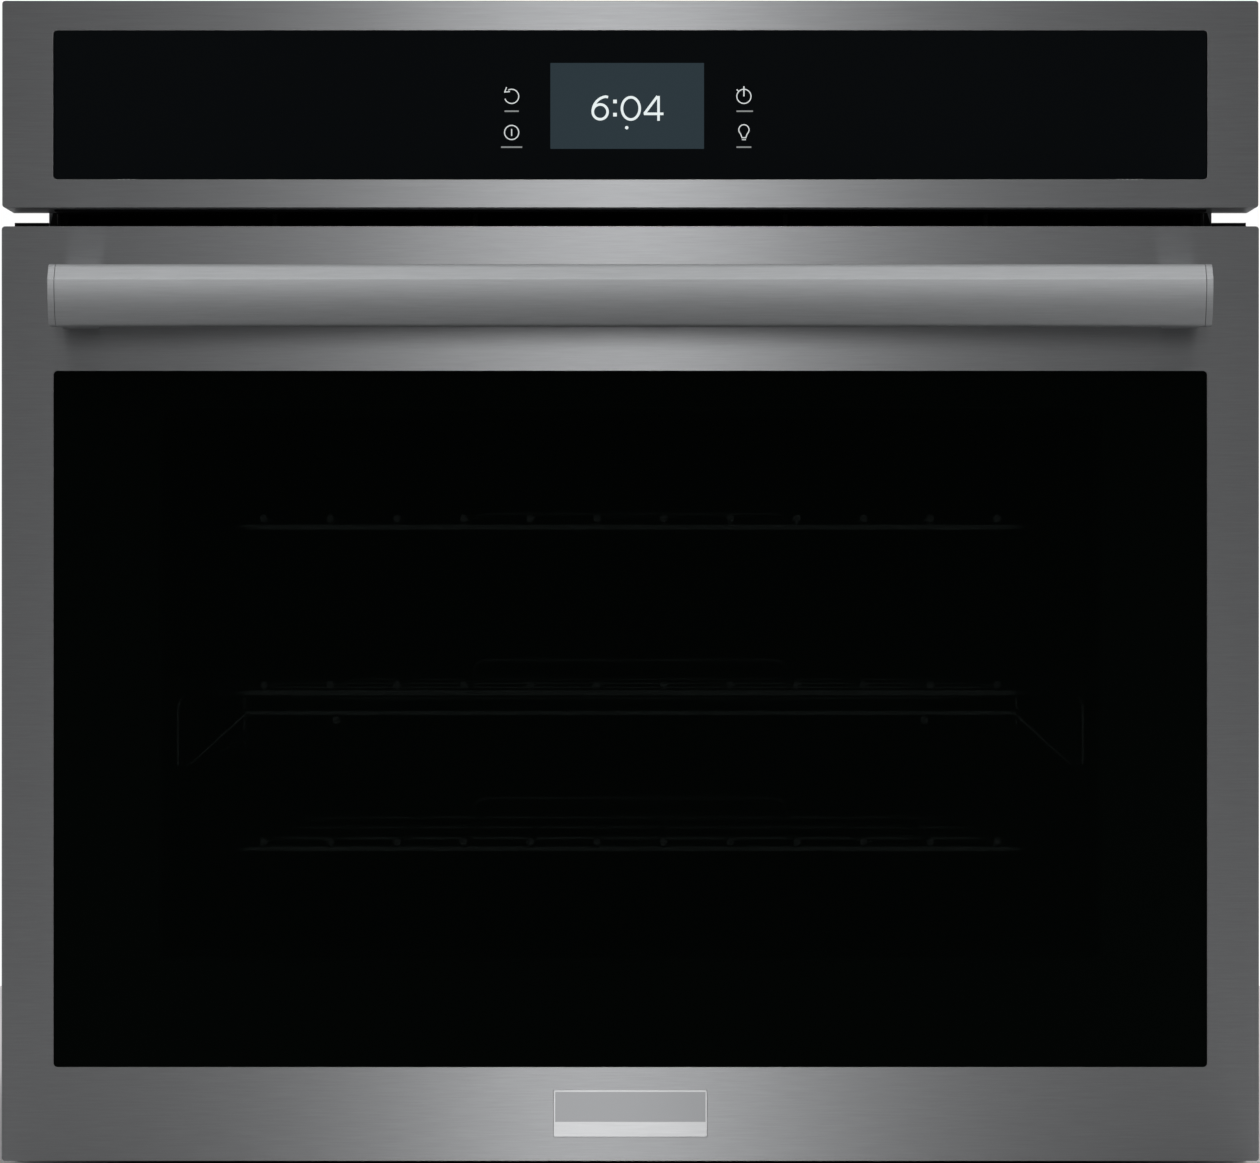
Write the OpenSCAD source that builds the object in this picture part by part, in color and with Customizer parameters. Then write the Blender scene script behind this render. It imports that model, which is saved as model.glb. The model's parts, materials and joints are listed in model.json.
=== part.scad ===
// Built-in single electric wall oven, 30 inch class, with a drop-down glass door.
// Millimetres. +Z is up, +Y points to the back of the cabinet, +X to the right seen from the front.
// The origin is the bottom centre of the whole oven, handle included.
// Inside the modules y = 0 is the plane of the cabinet face: negative is in front of it.

/* [Front] */
// Width of the control panel and the door
front_w = 762; // [760:1:765]
// Height of the control panel
panel_h = 125.5; // [124:0.5:128]
// Height of the door
door_h = 566.5; // [566:0.5:567]
// Open slot between the door and the control panel, where cooling air leaves
vent_gap = 11.5; // [11:0.5:12]
// Height of the door's lower edge above the cabinet floor
door_z = 5; // [4.5:0.5:5.5]
// How far the door's face stands in front of the cabinet
door_t = 44; // [43.5:0.5:45]
// How far the control panel's face stands in front of the cabinet
panel_t = 42; // [41.5:0.5:43]

/* [Body] */
// Width of the steel body behind the front
body_w = 716; // [714:1:720]
// Height of the steel body
body_h = 686; // [684:1:690]
// Depth of the steel body behind the cabinet face
body_d = 582; // [580:1:590]
// Sheet thickness of the panels
sheet = 1.2; // [0.8:0.1:1.4]

/* [Cavity] */
// Clear width inside the oven
cavity_w = 592; // [590:1:594]
// Height of the oven floor
cavity_z = 78; // [77:1:79]
// Clear height inside the oven
cavity_h = 454; // [452:1:456]
// Clear depth inside the oven
cavity_d = 492; // [490:1:494]
// Level of the lowest rack position
first_rack_z = 141; // [140:1:142]
// Distance between rack positions
rack_pitch = 51; // [50:1:51]

/* [Handle] */
// Overall length of the handle, end caps included
handle_l = 692; // [680:1:700]
// Height of the handle bar
handle_h = 37; // [34:0.5:38]
// How far the handle's face stands in front of the door
handle_reach = 58; // [54:1:62]
// Height of the handle's middle above the cabinet floor
handle_z = 526.5; // [520:0.5:530]

/* [Hidden] */

$fn = 48;
clear = 0.1;                                    // gap between parts that touch
handle_front = -door_t - handle_reach;          // the frontmost plane
head_h = 3;                                     // screw heads behind the body
face_y = -(body_d + head_h + handle_front) / 2; // the cabinet face, seen from the middle of the oven

half_w = front_w / 2;
door_top = door_z + door_h;
panel_z = door_top + vent_gap;
panel_top = panel_z + panel_h;
half_body = body_w / 2;

half_cavity = cavity_w / 2;
cavity_top_z = cavity_z + cavity_h;
frame_t = 1.5;                                  // front frame plate
frame_top = 566;                                // its upper edge, just under the air duct

// the door's hinge axis runs along X through this point
pivot_y = -28;
pivot_z = door_z + 24;
door_back = -20;                                // rear plane of the door's rim
plug_back = -8;                                 // rear plane of the raised inner panel, on the gasket
plug_z = [46, 563];
half_plug = 345;
skin = 1;                                       // sheet thickness of the brushed fronts

// windows in the fronts
door_win_x = 349.6;
door_win_z = [61.8, 483.9];
panel_win_x = 349.9;
panel_win_z = [600.1, 690.5];
win_r = 2.5;

inner_win_x = 286;                              // clear window in the inner panel
inner_win_z = [136, 452];

hinge_x = 326;                                  // middle of each hinge
arm_t = 5;
pin_r = 4;

rack_wires = 14;
wire_pitch = 42.05;
wire_r = 2.4;
rail_r = 3.2;
weld = 0.5;                                     // how far crossing wires sink into each other
rail_drop = wire_r + rail_r - weld;             // wires stand on the rails
rack_front = 72;
rack_back = 450;
rack_half = 287;                                // centre line of the side rails
corner_r = 16;
ledge_tip = 282;                                // inner edge of the wall ledges
ledge_count = 7;

fan_z = 305;                                    // height of the convection fan's axis
lamp_x = 210;
lamp_z = 455;
broil_z = 508;
bake_z = 65;
heater_r = 3.4;

blower_y = 300;                                 // axis of the cooling blower
blower_z = 625;
blower_r = 28;
blower_x = 90;                                  // half length of its wheel

// colours
black_steel = [0.36, 0.365, 0.37];
handle_steel = [0.5, 0.505, 0.51];
enamel = [0.05, 0.055, 0.07];
galvanised = [0.66, 0.68, 0.7];
chrome_wire = [0.75, 0.75, 0.76];
black_plastic = [0.04, 0.04, 0.045];
black_glass = [0.015, 0.02, 0.02];
wool = [0.9, 0.82, 0.5];
ceramic = [0.9, 0.88, 0.82];
board_green = [0.05, 0.3, 0.16];

// ---------- helpers ----------

// Puts what is drawn from the cabinet face into the row frame.
module placed() translate([0, face_y, 0]) children();

module both_sides() {
    children();
    mirror([1, 0, 0]) children();
}

// A box between two corners.
module block(x, y, z) translate([x[0], y[0], z[0]]) cube([x[1] - x[0], y[1] - y[0], z[1] - z[0]]);

module rod_x(r, x, y, z) translate([x[0], y, z]) rotate([0, 90, 0]) cylinder(r = r, h = x[1] - x[0]);
module rod_y(r, x, y, z) translate([x, y[1], z]) rotate([90, 0, 0]) cylinder(r = r, h = y[1] - y[0]);
module rod_z(r, x, y, z) translate([x, y, z[0]]) cylinder(r = r, h = z[1] - z[0]);

// An upright outline in X and Z, given depth along Y.
module upright(y) translate([0, y[1], 0]) rotate([90, 0, 0]) linear_extrude(y[1] - y[0]) children();

// A side outline in Y and Z, given width along X.
module sideways(x) translate([x[0], 0, 0]) rotate([90, 0, 90]) linear_extrude(x[1] - x[0]) children();

// A rectangle between two corners with round corners.
module soft_rect(x, z, r) {
    translate([x[0] + r, z[0]]) square([x[1] - x[0] - 2 * r, z[1] - z[0]]);
    translate([x[0], z[0] + r]) square([x[1] - x[0], z[1] - z[0] - 2 * r]);
    for (cx = [x[0] + r, x[1] - r], cz = [z[0] + r, z[1] - r]) translate([cx, cz]) circle(r);
}

module ring_plate(x, z, r, hole_x, hole_z, hole_r) difference() {
    soft_rect(x, z, r);
    soft_rect(hole_x, hole_z, hole_r);
}

// Part of a ring of round bar lying in the XY plane.
module bend(radius, r, start, sweep) rotate([0, 0, start])
    rotate_extrude(angle = sweep) translate([radius, 0]) circle(r);

// Points on a shallow bow from p to q that stands out by s to the right of the way along it.
function bow(p, q, s, n) = let (d = q - p, side = [d[1], -d[0]] / norm(d))
    [for (i = [0:n - 1]) let (t = i / n) p + d * t + side * 4 * s * t * (1 - t)];

module hex_screw(head_r, shank_r, length) {
    cylinder(r = head_r, h = head_h, $fn = 6);
    cylinder(r = head_r + 1.2, h = 0.8);
    translate([0, 0, -length]) cylinder(r = shank_r, h = length);
}

// ---------- steel body ----------

screw_zs = [60, 220, 380, 540];
vent_x = [for (i = [0:8]) -200 + 50 * i];
gland_x = 285;
gland_z = 646;
gland_r = 11;

module base_pan() color(galvanised) placed() {
    block([-half_body, half_body], [0, body_d], [0, sheet]);
    for (x = [-half_body + sheet + clear, half_body - 2 * sheet - clear])
        block([x, x + sheet], [4, body_d - 4], [0, 18]);
    for (x = [-240, -80, 80, 240]) block([x - 12, x + 12], [30, body_d - 30], [sheet, 5]);
}

module side_panel() difference() {
    union() {
        block([half_body - sheet, half_body], [0, body_d], [sheet, body_h - sheet]);
        // pressed stiffening ribs
        for (z = [180, 400]) block([half_body - 4, half_body - sheet], [40, body_d - 60], [z, z + 16]);
        // inward flange that meets the front frame
        block([half_body - 14, half_body], [0, sheet], [sheet, body_h - sheet]);
    }
    // cooling slots beside the electronics
    for (i = [0:5]) block([half_body - 6, half_body + 1], [360 + 30 * i, 380 + 30 * i], [610, 655]);
    for (z = screw_zs) rod_x(2, [half_body - 6, half_body + 1], 13, z);
}
module side_panels() color(galvanised) placed() both_sides() side_panel();

module back_panel() color(galvanised) placed() difference() {
    union() {
        block([-half_body + sheet + clear, half_body - sheet - clear], [body_d - sheet, body_d],
              [sheet, body_h - sheet]);
        for (z = [110, 500]) block([-300, 300], [body_d - 4, body_d - sheet], [z, z + 14]);
    }
    for (x = vent_x) block([x - 18, x + 18], [body_d - 5, body_d + 1], [590, 596]);
    for (x = vent_x) block([x - 18, x + 18], [body_d - 5, body_d + 1], [606, 612]);
    for (x = [-330, 330], z = screw_zs) rod_y(2, x, [body_d - 5, body_d + 1], z);
    rod_y(gland_r + 0.1, gland_x, [body_d - 5, body_d + 1], gland_z);
}

module top_panel() color(galvanised) placed() difference() {
    union() {
        block([-half_body, half_body], [0, body_d], [body_h - sheet, body_h]);
        for (x = [-180, 180]) block([x - 10, x + 10], [60, body_d - 60], [body_h - 4, body_h - sheet]);
    }
    for (i = [-4:4]) block([30 * i - 4, 30 * i + 4], [380, 500], [body_h - 5, body_h + 1]);
    for (x = [-330, 330], y = [60, 290, 520]) rod_z(2, x, y, [body_h - 5, body_h + 1]);
}

module body_screws() color(galvanised) placed() {
    for (x = [-330, 330], z = screw_zs)
        translate([x, body_d, z]) rotate([-90, 0, 0]) hex_screw(3.6, 1.9, 6);
    for (x = [-330, 330], y = [60, 290, 520]) translate([x, y, body_h]) hex_screw(3.6, 1.9, 6);
    both_sides() for (z = screw_zs)
        translate([half_body + clear + sheet, 13, z]) rotate([0, 90, 0]) hex_screw(3.6, 1.9, 6);
}

// ---------- front frame and cabinet trims ----------

latch_x = -20;
latch_z = 556;
switch_x = 60;
switch_r = 3.2;
hinge_slot_x = [hinge_x - 8, hinge_x + 8];
hinge_slot_z = [14, 62];
trim_w = 379;
trim_top = 577;
trim_hole_x = 369.4;
trim_hole_z = [110, 470];
trim_hole_r = 2.6;

module front_frame() color(enamel) placed() upright([-frame_t, 0]) difference() {
    ring_plate([-half_body, half_body], [0, frame_top], 2,
               [-half_cavity, half_cavity], [cavity_z, cavity_top_z], 20);
    both_sides() translate([hinge_slot_x[0], hinge_slot_z[0]])
        square([hinge_slot_x[1] - hinge_slot_x[0], hinge_slot_z[1] - hinge_slot_z[0]]);
    translate([latch_x - 16, latch_z - 5]) square([40, 10]);
    translate([switch_x, latch_z]) circle(switch_r + 0.6);
}

module mounting_trim() difference() {
    union() {
        block([half_body + clear, trim_w], [-frame_t, 0], [0.5, trim_top]);
        block([half_body + clear, half_body + clear + sheet], [-frame_t, 26], [0.5, trim_top]);
    }
    for (z = trim_hole_z) rod_y(trim_hole_r, trim_hole_x, [-3, 1], z);
    for (z = screw_zs) rod_x(2, [half_body, half_body + 3], 13, z);
}
module mounting_trims() color(black_plastic) placed() both_sides() mounting_trim();

module door_gasket() color([0.75, 0.73, 0.68]) placed() {
    r = 3;
    mid_y = -frame_t - clear - r;
    x = half_cavity + 12;
    z = [cavity_z - 9, cavity_top_z + 9];
    turn = 28;
    for (level = z) rod_x(r, [-x + turn, x - turn], mid_y, level);
    for (side = [-x, x]) rod_z(r, side, mid_y, [z[0] + turn, z[1] - turn]);
    for (corner = [[x, z[1], 0], [-x, z[1], 90], [-x, z[0], 180], [x, z[0], 270]])
        translate([corner[0] - turn * sign(corner[0]), mid_y,
                   corner[1] + (corner[1] < 300 ? turn : -turn)])
            rotate([90, 0, 0]) bend(turn, r, corner[2], 90);
}

// ---------- cavity ----------

wall = 1.2;                                     // enamelled liner sheet
ledge_y = [84, 440];

// One side wall with the rack ledges that are pressed into it.
module cavity_side() {
    block([half_cavity, half_cavity + wall], [clear, cavity_d], [cavity_z, cavity_top_z]);
    for (k = [0:ledge_count - 1]) {
        top = first_rack_z + k * rack_pitch - rail_drop - rail_r - 0.3;
        upright(ledge_y) polygon([[half_cavity + wall / 2, top], [ledge_tip + 2, top],
            [ledge_tip, top - 2], [ledge_tip, top - 6], [ledge_tip + 2, top - 8],
            [half_cavity + wall / 2, top - 15]]);
    }
}
module cavity_sides() color(enamel) placed() both_sides() cavity_side();

module cavity_top() color(enamel) placed()
    block([-half_cavity - wall, half_cavity + wall], [clear, cavity_d + wall],
          [cavity_top_z, cavity_top_z + wall]);

module cavity_bottom() color(enamel) placed() {
    block([-half_cavity - wall, half_cavity + wall], [clear, cavity_d + wall],
          [cavity_z - wall, cavity_z]);
    // shallow pressed step round the floor
    difference() {
        block([-270, 270], [30, 455], [cavity_z - 0.2, cavity_z + 2]);
        block([-262, 262], [38, 447], [cavity_z, cavity_z + 3]);
    }
}

module cavity_back() color(enamel) placed() difference() {
    block([-half_cavity - wall, half_cavity + wall], [cavity_d, cavity_d + wall],
          [cavity_z + clear, cavity_top_z - clear]);
    rod_y(8, 0, [cavity_d - 1, cavity_d + 2], fan_z);
    for (x = [-lamp_x, lamp_x]) rod_y(19, x, [cavity_d - 1, cavity_d + 2], lamp_z);
    for (x = [-25, 25]) rod_y(heater_r + 1, x, [cavity_d - 1, cavity_d + 2], broil_z);
    for (x = [-tail_x, tail_x]) rod_y(heater_r + 1, x, [cavity_d - 1, cavity_d + 2], fan_z - tail_drop);
    rod_y(3, -120, [cavity_d - 1, cavity_d + 2], 492);
}

module insulation_wrap() color(wool) placed() {
    both_sides() block([half_cavity + wall + 1, 340], [6, 540], [72, 560]);
    block([-half_cavity, half_cavity], [72, 540], [cavity_top_z + wall + 1, 560]);
    block([-half_cavity, half_cavity], [6, 540], [24, 52]);
    difference() {
        block([-half_cavity, half_cavity], [cavity_d + wall + 3, 540], [78, cavity_top_z]);
        rod_y(52, 0, [490, 545], fan_z);
        block([-24, 24], [490, 545], [fan_z - ring_r - 10, fan_z]);
        for (x = [-lamp_x, lamp_x]) rod_y(24, x, [490, 545], lamp_z);
        for (x = [-25, 25]) rod_y(7, x, [490, 545], broil_z);
        rod_y(5, -120, [490, 545], 492);
    }
}

// ---------- heaters ----------

element_x = 265;                                // outermost leg
turn_r = 30;                                    // radius of each hairpin
leg_front = 120;
leg_back = 410;
ring_r = 92;
tail_x = 18;                                    // half the gap between the ring's tails
tail_drop = sqrt(ring_r * ring_r - tail_x * tail_x);

module leg(x, y, z) rod_y(heater_r, x, y, z);
module hairpin(x, y, z, start) translate([x, y, z]) bend(turn_r, heater_r, start, 180);
module cold_end(x, y, z) {
    rod_y(heater_r + 0.4, x, [y[0], y[1] - 14], z);
    block([x - 3, x + 3], [y[1] - 15, y[1]], [z - 0.4, z + 0.4]);
}

// The broil element hangs under the roof: hairpins front and back, joined along the front.
module broil_element() color([0.2, 0.2, 0.21]) placed() {
    both_sides() {
        leg(25, [leg_front, 520], broil_z);
        leg(85, [leg_front, leg_back], broil_z);
        leg(145, [leg_front, leg_back], broil_z);
        leg(205, [leg_front, leg_back], broil_z);
        leg(element_x, [60 + turn_r, leg_back], broil_z);
        for (x = [55, 175]) hairpin(x, leg_front, broil_z, 180);
        for (x = [115, 235]) hairpin(x, leg_back, broil_z, 0);
        translate([element_x - turn_r, 60 + turn_r, broil_z]) bend(turn_r, heater_r, 270, 90);
        cold_end(25, [518, 548], broil_z);
    }
    rod_x(heater_r, [-element_x + turn_r, element_x - turn_r], 60, broil_z);
    // hangers
    both_sides() for (y = [150, 380]) rod_z(1.6, 205, y, [broil_z, cavity_top_z - clear]);
}

// The bake element lies hidden under the oven floor.
module bake_element() color([0.2, 0.2, 0.21]) placed() {
    both_sides() {
        leg(45, [leg_front, 540], bake_z);
        leg(105, [leg_front, leg_back], bake_z);
        leg(165, [60 + turn_r, leg_back], bake_z);
        hairpin(75, leg_front, bake_z, 180);
        hairpin(135, leg_back, bake_z, 0);
        translate([165 - turn_r, 60 + turn_r, bake_z]) bend(turn_r, heater_r, 270, 90);
        cold_end(45, [538, 566], bake_z);
    }
    rod_x(heater_r, [-165 + turn_r, 165 - turn_r], 60, bake_z);
    // feet
    both_sides() for (y = [150, 380]) rod_z(1.6, 105, y, [52 + clear, bake_z]);
}

// The ring heater round the convection fan, with two tails through the back wall.
module convection_element() color([0.2, 0.2, 0.21]) placed() {
    gap = asin(tail_x / ring_r);
    translate([0, 480, fan_z]) rotate([90, 0, 0]) bend(ring_r, heater_r, -90 + gap, 360 - 2 * gap);
    for (x = [-tail_x, tail_x]) {
        rod_y(heater_r, x, [478, 530], fan_z - tail_drop);
        cold_end(x, [528, 556], fan_z - tail_drop);
    }
}

// ---------- convection fan ----------

cover_x = 112;                                  // half width of the fan's cover
cover_h = 112;                                  // half height of it
cover_y = [463, cavity_d - clear];

module fan_cover() color([0.1, 0.1, 0.11]) placed() difference() {
    upright(cover_y) soft_rect([-cover_x, cover_x], [fan_z - cover_h, fan_z + cover_h], 22);
    upright([cover_y[0] + 1, cover_y[1] + 1])
        soft_rect([1 - cover_x, cover_x - 1], [fan_z - cover_h + 1, fan_z + cover_h - 1], 21);
    // intake holes in rings, opposite the fan
    for (ring = [0:4], i = [0:max(0, ring * 6 - 1)])
        let (a = ring == 0 ? 0 : 360 * i / (ring * 6))
            rod_y(4.6, 13 * ring * cos(a), [cover_y[0] - 1, cover_y[0] + 2], fan_z + 13 * ring * sin(a));
    // outlet slots round the rim
    for (turn = [0:90:270], x = [-65:26:65]) translate([0, 0, fan_z]) rotate([0, turn, 0])
        block([x - 9, x + 9], [cover_y[0] + 8, cover_y[1] - 6], [cover_h - 3, cover_x + 1]);
}

// Impeller with its shaft, turning in the motor's bearing.
module convection_fan() color([0.6, 0.61, 0.62]) placed() {
    rod_y(70, 0, [485, 486], fan_z);
    rod_y(12, 0, [468.5, 486], fan_z);
    rod_y(4, 0, [466, 552], fan_z);
    for (i = [0:9]) translate([0, 0, fan_z]) rotate([0, 36 * i, 0]) translate([10, 0, 0])
        rotate([0, 18, 0]) block([0, 60], [470, 485.5], [-0.6, 0.6]);
}

module convection_motor() color([0.45, 0.45, 0.46]) placed() difference() {
    union() {
        rod_y(26, 0, [506, 556], fan_z);
        block([-36, 36], [516, 540], [fan_z - 36, fan_z + 36]);
        block([-60, 60], [543, 545], [fan_z - 16, fan_z + 16]);
    }
    rod_y(4.06, 0, [500, 560], fan_z);
}

module temperature_sensor() color(chrome_wire) placed() {
    rod_y(2.4, -120, [420, 545], 492);
    block([-136, -104], [cavity_d - 1.2 - clear, cavity_d - clear], [486, 498]);
}

module lamp_lenses() color([0.9, 0.92, 0.92]) placed() for (x = [-lamp_x, lamp_x]) difference() {
    union() {
        rod_y(30, x, [cavity_d - 3 - clear, cavity_d - clear], lamp_z);
        translate([x, cavity_d - 2, lamp_z]) rotate([90, 0, 0]) rotate_extrude() intersection() {
            circle(25);
            square([26, 20]);
        }
    }
    rod_y(20, x, [cavity_d - 14, cavity_d + 1], lamp_z);
}

module lamp_bulbs() color([1, 0.97, 0.88]) placed() for (x = [-lamp_x, lamp_x]) {
    rod_y(6.5, x, [cavity_d - 6, cavity_d + 16], lamp_z);
    translate([x, cavity_d - 6, lamp_z]) sphere(6.5);
    rod_y(5, x, [cavity_d + 15, cavity_d + 20], lamp_z);
}

module lamp_sockets() color(ceramic) placed() for (x = [-lamp_x, lamp_x]) difference() {
    union() {
        rod_y(18, x, [cavity_d - 2, 532], lamp_z);
        rod_y(22.5, x, [cavity_d + wall + clear, cavity_d + wall + 3], lamp_z);
        for (z = [-8, 8]) block([x - 0.5, x + 0.5], [531, 544], [lamp_z + z - 3, lamp_z + z + 3]);
    }
    rod_y(14, x, [cavity_d - 3, cavity_d + 16 + clear], lamp_z);
    rod_y(5.2, x, [cavity_d, cavity_d + 21], lamp_z);
}

// ---------- control panel ----------

panel_back = -clear;
display_w = 93.2;
display_h = 52.1;
display_x = -1.9;
display_z = 644.7;

module control_panel_frame() color(black_steel) placed() {
    outer_x = [-half_w, half_w];
    outer_z = [panel_z, panel_top];
    upright([-panel_t, -panel_t + skin])
        ring_plate(outer_x, outer_z, 2, [-panel_win_x, panel_win_x], panel_win_z, win_r);
    upright([-panel_t + skin, panel_back - skin])
        ring_plate(outer_x, outer_z, 2, [-half_w + skin, half_w - skin],
                   [panel_z + skin, panel_top - skin], 1);
    upright([panel_back - skin, panel_back])
        ring_plate(outer_x, outer_z, 2, [-350, 350], [panel_z + 8, 682], 4);
}

module control_glass() color(black_glass) placed() upright([-panel_t + 0.3, -panel_t + 3.5]) {
    fit = 0.35;
    soft_rect([-panel_win_x + fit, panel_win_x - fit], [panel_win_z[0] + fit, panel_win_z[1] - fit],
              win_r - fit);
}

module display_module() color([0.19, 0.22, 0.25]) placed() {
    block([display_x - display_w / 2, display_x + display_w / 2], [-38.4, -37],
          [display_z - display_h / 2, display_z + display_h / 2]);
    block([display_x - 52, display_x + 52], [-37, -33], [display_z - 32, display_z + 32]);
}

// Touch keys: a thin board either side of the display, behind the glass.
module touch_board() color(board_green) placed() for (x = [-71.5, 69]) {
    block([x - 16, x + 16], [-38.4, -36.8], [display_z - 30, display_z + 24]);
    for (z = [display_z + 6, display_z - 16]) rod_y(6, x, [-36.8, -35.6], z);
}

module control_housing() color([0.16, 0.16, 0.17]) placed() difference() {
    block([-150, 150], [-32.5, -4], [panel_z + 14, 690]);
    block([-148, 148], [-30.5, -5.5], [panel_z + 16, 688]);
    block([display_x - 46, display_x + 46], [-33, -30], [display_z - 26, display_z + 26]);
    for (i = [0:9]) block([-110 + 22 * i, -100 + 22 * i], [-6, -3], [620, 670]);
}

module relay_board() color(board_green) placed() {
    block([-330, -150], [60, 200], [584, 585.6]);
    for (x = [-322, -158], y = [68, 192]) rod_z(3.5, x, y, [duct_z[1] + clear, 584.1]);
    for (i = [0:4]) block([-318 + 31 * i, -292 + 31 * i], [80, 96], [585.5, 601]);
    block([-318, -270], [130, 176], [585.5, 622]);
    for (i = [0:2]) rod_z(8, -250 + 26 * i, 150, [585.5, 612]);
    block([-195, -160], [120, 180], [585.5, 592]);
}

// ---------- cooling air ----------

duct_z = [frame_top + 0.6, panel_z - 0.4];
duct_x = 351;
duct_y = [2, 330];
outlet_y = [blower_y - 24, blower_y + 10];

module air_duct() color(galvanised) placed() difference() {
    block([-duct_x, duct_x], duct_y, duct_z);
    block([-duct_x + 1, duct_x - 1], [duct_y[0] - 1, duct_y[1] - 1], [duct_z[0] + 1, duct_z[1] - 1]);
    block([-blower_x, blower_x], outlet_y, [duct_z[1] - 2, duct_z[1] + 1]);
}

// Black trim that fills the slot under the control panel; its ribs split the air outlet.
rib_x = [218, 95];
module vent_grille() color(black_plastic) placed() {
    block([-duct_x, duct_x], [-30, -clear], [panel_z - 1.4, panel_z - clear]);
    for (x = rib_x) both_sides() block([x - 1.5, x + 1.5], [-12, -clear], [duct_z[0], panel_z - 1]);
    both_sides() block([duct_x - 2, duct_x], [-16, -clear], [duct_z[0], panel_z - 1]);
    block([-duct_x, duct_x], [-4, -clear], [duct_z[0], duct_z[0] + 1]);
}

module blower_housing() color(galvanised) placed() {
    shell = blower_r + 8;
    difference() {
        union() {
            rod_x(shell + 1.5, [-blower_x - 3.5, blower_x + 3.5], blower_y, blower_z);
            block([-blower_x - 3.5, blower_x + 3.5], [outlet_y[0] - 2, outlet_y[1] + 2],
                  [duct_z[1] + clear, blower_z]);
        }
        rod_x(shell, [-blower_x - 2, blower_x + 2], blower_y, blower_z);
        block([-blower_x, blower_x], outlet_y, [duct_z[1] - 1, blower_z]);
        // air intake along the back and the top
        block([-blower_x, blower_x], [blower_y + 6, blower_y + 60], [blower_z - 12, blower_z + 60]);
        rod_x(3.6, [-blower_x - 5, blower_x + 5], blower_y, blower_z);
    }
}

// Cross-flow wheel: long blades between discs, on its own shaft.
module blower_wheel() color([0.3, 0.3, 0.31]) placed() {
    for (x = [-blower_x, -0.75, blower_x - 1.5]) rod_x(blower_r, [x, x + 1.5], blower_y, blower_z);
    for (i = [0:15]) translate([0, blower_y, blower_z]) rotate([22.5 * i, 0, 0])
        block([-blower_x + 0.5, blower_x - 0.5], [blower_r - 7, blower_r - 0.5], [-0.5, 0.5]);
    rod_x(3, [-blower_x - 6, blower_x + 20], blower_y, blower_z);
}

module blower_motor() color([0.45, 0.45, 0.46]) placed() {
    x = blower_x + 4;
    difference() {
        union() {
            rod_x(22, [x, x + 44], blower_y, blower_z);
            block([x + 10, x + 32], [blower_y - 30, blower_y + 30], [blower_z - 30, blower_z + 30]);
        }
        rod_x(3.05, [x - 1, x + 20], blower_y, blower_z);
    }
    block([x + 14, x + 28], [blower_y - 26, blower_y + 26], [duct_z[1] + clear, blower_z - 29]);
}

// ---------- door latch and door switch ----------

hook_t = 2.5;
hook_pivot_y = 34;

module latch_motor() color([0.55, 0.55, 0.56]) placed() {
    block([-70, 40], [clear, 66], [547, 548.5]);
    block([10, 40], [26, 66], [548, 558.5]);
    block([-70, -45], [36, 60], [548, 558.5]);
    rod_z(2.5, latch_x, hook_pivot_y, [548, 559]);
    rod_z(4.5, latch_x, hook_pivot_y, [548, latch_z - hook_t / 2 - 0.2]);
}

// The hook passes through the frame into the door's slot; turning it catches its barb.
module latch_hook() color(chrome_wire) placed() difference() {
    translate([0, 0, latch_z - hook_t / 2]) linear_extrude(hook_t) {
        translate([latch_x, hook_pivot_y]) circle(7);
        polygon([[latch_x - 4, hook_pivot_y], [latch_x - 4, -22], [latch_x + 1, -22],
                 [latch_x + 9, -13.5], [latch_x + 4, -13.5], [latch_x + 4, hook_pivot_y]]);
        translate([latch_x - 3, hook_pivot_y]) square([6, 15]);
    }
    rod_z(2.56, latch_x, hook_pivot_y, [550, 562]);
}

module door_switch() color(black_plastic) placed() difference() {
    block([switch_x - 8, switch_x + 8], [0.1, 34], [latch_z - 8, latch_z + 4.5]);
    rod_y(switch_r + 0.06, switch_x, [-1, 28], latch_z);
}

module switch_plunger() color([0.85, 0.85, 0.83]) placed() {
    rod_y(switch_r, switch_x, [plug_back + 1.6 + clear, 22], latch_z);
    translate([switch_x, plug_back + 1.6 + clear, latch_z]) rotate([90, 0, 0])
        cylinder(r1 = switch_r, r2 = switch_r - 1.4, h = 1.6);
}

// ---------- supply ----------

module terminal_block() color(ceramic) placed() difference() {
    union() {
        block([255, 315], [520, 545], [590, 606]);
        for (x = [258, 272, 286, 300, 311]) block([x, x + 2], [520, 545], [605, 616]);
        block([250, 320], [515, body_d - sheet - clear], [584, 590]);
    }
    for (x = [266, 280, 294.5]) rod_z(3, x, 532, [600, 610]);
}

module conduit_gland() color(black_plastic) placed() difference() {
    union() {
        rod_y(gland_r, gland_x, [body_d - 8, body_d + 1], gland_z);
        rod_y(15, gland_x, [body_d, body_d + 3], gland_z);
        rod_y(13.5, gland_x, [body_d - 10, body_d - 4.2], gland_z);
    }
    rod_y(8.5, gland_x, [body_d - 12, body_d + 4], gland_z);
}

// ---------- hinges ----------

channel_x = [hinge_x - 8.5, hinge_x + 8.5];
channel_y = [-38.5, door_back - 2];
channel_top = 300;
bracket_z = 80;                                 // seat of each spring in its channel
nut_z = 262;                                    // rod nut that squeezes the spring

module hinge_receiver() difference() {
    block([hinge_x - 11, hinge_x + 11], [clear, 92], [6, 66]);
    block([hinge_x - 9, hinge_x + 9], [-1, 90], [8, 64]);
}
module hinge_receivers() color(galvanised) placed() both_sides() {
    hinge_receiver();
    rod_x(4, [hinge_x - 10, hinge_x + 10], 44, 17);
}

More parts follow.
